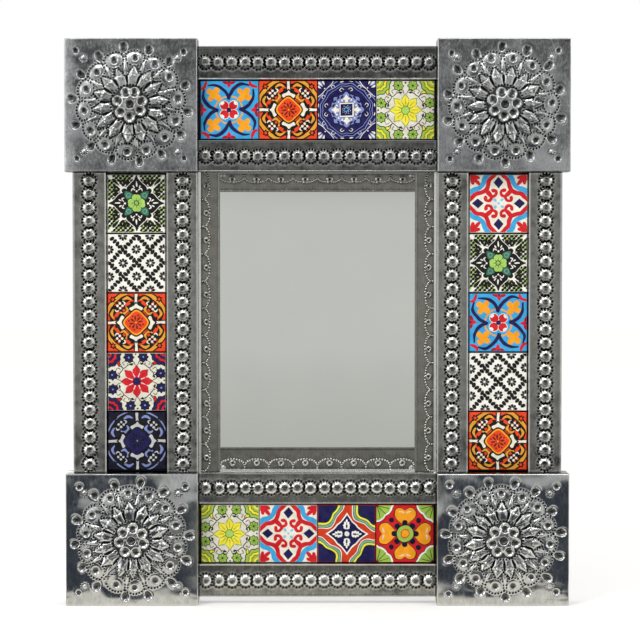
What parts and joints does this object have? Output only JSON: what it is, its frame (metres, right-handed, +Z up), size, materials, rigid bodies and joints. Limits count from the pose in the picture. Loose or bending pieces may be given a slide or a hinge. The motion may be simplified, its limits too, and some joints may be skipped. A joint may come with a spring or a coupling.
{
  "type": "tin wall mirror",
  "caption": "Wall mirror in a pressed tin frame with glazed tile rails, deep square corner boxes and a hanging loop behind.",
  "frame": {"origin": "centre of the backing board's rear face, on the wall plane", "axes": "+Z up, +Y into the wall, the mirror faces -Y, X across"},
  "size_m": [0.434, 0.037, 0.488],
  "materials": {
    "tin": "pressed tinplate, bright and slightly dull",
    "tin_plain": "plain tinplate",
    "tin_dark": "tinplate, darkened by handling",
    "wire": "bare steel wire",
    "solder": "soft solder",
    "glue": "hot-melt glue",
    "card": "brown card",
    "hardboard": "hardboard, smooth face out",
    "mirror_glass": "silvered glass",
    "glaze_sky": "glossy hand-painted glaze",
    "glaze_orange": "glossy hand-painted glaze",
    "glaze_navy": "glossy hand-painted glaze",
    "glaze_yellow": "glossy hand-painted glaze",
    "glaze_ivory": "glossy hand-painted glaze",
    "glaze_rust": "glossy hand-painted glaze",
    "glaze_red": "glossy hand-painted glaze",
    "glaze_lime": "glossy hand-painted glaze",
    "glaze_cream": "glossy hand-painted glaze",
    "glaze_offwhite": "glossy hand-painted glaze",
    "glaze_indigo": "glossy hand-painted glaze"
  },
  "bodies": {
    "frame": {"backing_board": "hardboard", "backing_card": "card", "mirror_glass": "mirror_glass", "top_rail_inner_strip": "tin", "top_rail_outer_strip": "tin", "top_rail_back": "tin_plain", "top_tile_packing": "card", "mirror_strip_top": "tin_dark", "right_rail_inner_strip": "tin", "right_rail_outer_strip": "tin", "right_rail_back": "tin_plain", "right_tile_packing": "card", "mirror_strip_right": "tin_dark", "bottom_rail_inner_strip": "tin", "bottom_rail_outer_strip": "tin", "bottom_rail_back": "tin_plain", "bottom_tile_packing": "card", "mirror_strip_bottom": "tin_dark", "left_rail_inner_strip": "tin", "left_rail_outer_strip": "tin", "left_rail_back": "tin_plain", "left_tile_packing": "card", "mirror_strip_left": "tin_dark", "tile_top_1": "glaze_sky", "tile_top_2": "glaze_orange", "tile_top_3": "glaze_navy", "tile_top_4": "glaze_yellow", "tile_bottom_1": "glaze_yellow", "tile_bottom_2": "glaze_ivory", "tile_bottom_3": "glaze_rust", "tile_bottom_4": "glaze_red", "tile_left_1": "glaze_lime", "tile_left_2": "glaze_cream", "tile_left_3": "glaze_orange", "tile_left_4": "glaze_offwhite", "tile_left_5": "glaze_indigo", "tile_right_1": "glaze_ivory", "tile_right_2": "glaze_lime", "tile_right_3": "glaze_sky", "tile_right_4": "glaze_cream", "tile_right_5": "glaze_orange", "corner_box_top_left": "tin", "corner_back_top_left": "tin_plain", "corner_box_top_right": "tin", "corner_back_top_right": "tin_plain", "corner_box_bottom_left": "tin", "corner_back_bottom_left": "tin_plain", "corner_box_bottom_right": "tin", "corner_back_bottom_right": "tin_plain", "hanger_strap": "tin_plain", "solder_joints": "solder", "board_glue": "glue"},
    "loop": {"hanger_ring": "wire"}
  },
  "joints": [
    {"name": "loop_swing", "type": "hinge", "parent": "frame", "child": "loop", "pos_m": [0, -0.00157, 0.198], "axis": [1, 0, 0], "range_deg": [0, 180]}
  ]
}
